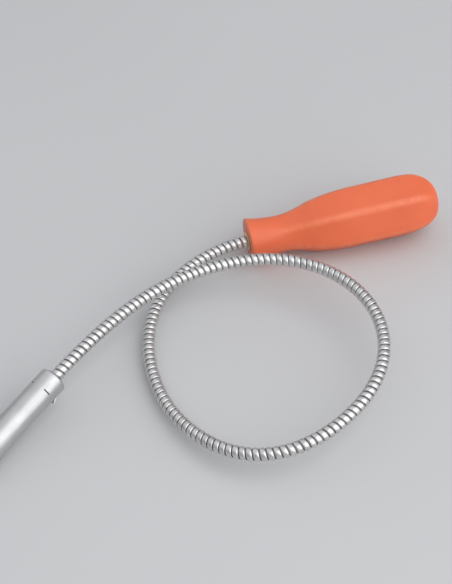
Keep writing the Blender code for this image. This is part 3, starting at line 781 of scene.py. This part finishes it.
def grip_groove(low):
    """The outline of one groove of the bezel, down to low."""
    high = low + GROOVE_WIDTH
    shoulder, bottom = HEAD_RADIUS - GROOVE_LIP_DROP, HEAD_RADIUS - GROOVE_DEPTH
    return [(HEAD_RADIUS, high + GROOVE_LIP), (shoulder, high), (bottom, high - GROOVE_WALL),
            (bottom, low + GROOVE_WALL), (shoulder, low), (HEAD_RADIUS, low - GROOVE_LIP)]


def make_bezel(materials, matrix):
    """The grooved front ring, and the rubber ring behind it."""
    profile = [(BEZEL_MOUTH_INNER, BEZEL_END - BEZEL_MOUTH_DEPTH), (BEZEL_MOUTH, BEZEL_END)]
    profile += arc(HEAD_RADIUS - BEZEL_EDGE, BEZEL_END - BEZEL_EDGE, BEZEL_EDGE, 90, 0)
    for i in reversed(range(GRIP_GROOVES)):
        profile += grip_groove(GROOVE_START + i * GROOVE_PITCH)
    profile += [(HEAD_RADIUS, BEZEL_START + BEZEL_CHAMFER),
                (HEAD_RADIUS - BEZEL_CHAMFER, BEZEL_START),
                (SPIGOT_RADIUS, BEZEL_START), (SPIGOT_RADIUS, SPIGOT_START),
                (BEZEL_BORE, SPIGOT_START), (BEZEL_BORE, BEZEL_BORE_END)]
    bezel = lathe("bezel", profile, materials["satin_aluminium"], matrix, steps=BEZEL_STEPS)
    finish_piece(bezel, "bezel", "satin_aluminium", "front_bezel")
    ring = arc(SEAL_RING, SEAL_PLACE, SEAL_THICKNESS, 90, -270, SEAL_POINTS)[:-1]
    seal = lathe("seal", ring, materials["seal_rubber"], matrix)
    finish_piece(seal, "bezel", "seal_rubber", "bezel_seal")


def make_magnet(materials, matrix):
    """The rod magnet and the steel cup round it."""
    rod = [(0.0, MAGNET_END),
           *arc(MAGNET_RADIUS - MAGNET_EDGE, MAGNET_END - MAGNET_EDGE, MAGNET_EDGE, 90, 0, 4),
           (MAGNET_RADIUS, MAGNET_START), (0.0, MAGNET_START)]
    magnet = lathe("magnet_rod", rod, materials["nickel"], matrix, steps=TIP_STEPS, closed=False)
    finish_piece(magnet, "head", "nickel", "magnet")
    wall = [(CUP_INNER + CUP_CHAMFER, CUP_END),
            *arc(CUP_OUTER - CUP_EDGE, CUP_END - CUP_EDGE, CUP_EDGE, 90, 0, 3),
            (CUP_OUTER, CUP_START), (0.0, CUP_START), (0.0, CUP_FLOOR), (CUP_INNER, CUP_FLOOR),
            (CUP_INNER, CUP_END - CUP_CHAMFER)]
    cup = lathe("cup", wall, materials["bright_steel"], matrix, steps=TIP_STEPS)
    finish_piece(cup, "head", "bright_steel", "magnet_cup")


def make_lamps(materials, matrix):
    """The lamps round the magnet, each with a domed front and a flange."""
    profile = [*arc(0.0, LAMP_DOME_START, LAMP_RADIUS, 90, 0, 8), (LAMP_RADIUS, LAMP_FLANGE_END),
               (LAMP_FLANGE, LAMP_FLANGE_END), (LAMP_FLANGE, LAMP_START), (0.0, LAMP_START)]
    outward = Matrix.Translation((LAMP_CIRCLE * MM, 0.0, 0.0))
    for i in range(LAMP_COUNT):
        beside = Matrix.Rotation(math.tau * i / LAMP_COUNT, 4, "Z") @ outward
        lamp = lathe(f"lamp_dome_{i + 1}", profile, materials["clear_plastic"], matrix @ beside,
                     steps=LAMP_STEPS, closed=False)
        finish_piece(lamp, "head", "clear_plastic", f"lamp_{i + 1}")


def dress_frame_nodes(materials):
    """Every part that keeps its own mesh gets the finish of its slot."""
    slots = {entry["node"]: entry["material_slot"] for entry in frame["record"]["subparts"]}
    for name, node in frame["nodes"].items():
        node.data.materials.clear()
        node.data.materials.append(materials[slots[name]])


# ---- Stage -----------------------------------------------------------------------------------
def make_camera():
    """A camera that looks down at the tool along +Y."""
    data = bpy.data.cameras.new("camera")
    data.lens = CAMERA_LENS
    data.sensor_width = CAMERA_SENSOR
    camera = bpy.data.objects.new("camera", data)
    bpy.context.scene.collection.objects.link(camera)
    elevation = math.radians(CAMERA_ELEVATION_DEG)
    back = Vector((0.0, -math.cos(elevation), math.sin(elevation)))
    camera.location = CAMERA_TARGET + back * CAMERA_DISTANCE
    camera.rotation_euler = (math.pi / 2 - elevation - math.radians(CAMERA_TILT_DEG), 0.0, 0.0)
    bpy.context.scene.camera = camera


def make_floor():
    """A pale, slightly uneven table, a little below the tool."""
    mesh = bpy.data.meshes.new("floor")
    corners = [(-FLOOR_HALF, -FLOOR_HALF, 0.0), (FLOOR_HALF, -FLOOR_HALF, 0.0),
               (FLOOR_HALF, FLOOR_HALF, 0.0), (-FLOOR_HALF, FLOOR_HALF, 0.0)]
    mesh.from_pydata(corners, [], [(0, 1, 2, 3)])
    look = Shading("floor", 0.75)
    cloud = look.noise(look.coordinates(), 1.5, detail=2.0)
    grey = look.colours(cloud, (0.3, (0.56, 0.56, 0.56)), (0.7, (0.59, 0.59, 0.59)))
    look.to(grey, "Base Color")
    floor = add_piece("floor", mesh, look.material, Matrix.Translation((0.0, 0.0, -FLOOR_DROP)))


def make_light():
    """A pale surrounding, and two large lamps that point at the origin."""
    world = bpy.data.worlds.new("studio")
    world.use_nodes = True
    background = world.node_tree.nodes["Background"]
    background.inputs["Color"].default_value = WORLD_COLOUR
    background.inputs["Strength"].default_value = WORLD_STRENGTH
    bpy.context.scene.world = world
    bpy.context.scene.view_settings.view_transform = "Standard"
    for name, place, side, power in AREA_LIGHTS:
        data = bpy.data.lights.new(name, "AREA")
        data.size = side
        data.energy = power
        light = bpy.data.objects.new(name, data)
        bpy.context.scene.collection.objects.link(light)
        light.location = place
        light.rotation_euler = (-Vector(place)).to_track_quat("-Z", "Y").to_euler()


def main():
    materials = make_materials()
    make_camera()
    make_floor()
    make_light()
    route = NeckRoute()
    matrix = head_matrix(route)
    make_grip(materials)
    make_ferrule(materials)
    make_neck(route, materials)
    make_barrel(materials, matrix)
    make_bezel(materials, matrix)
    make_magnet(materials, matrix)
    make_lamps(materials, matrix)
    dress_frame_nodes(materials)


main()
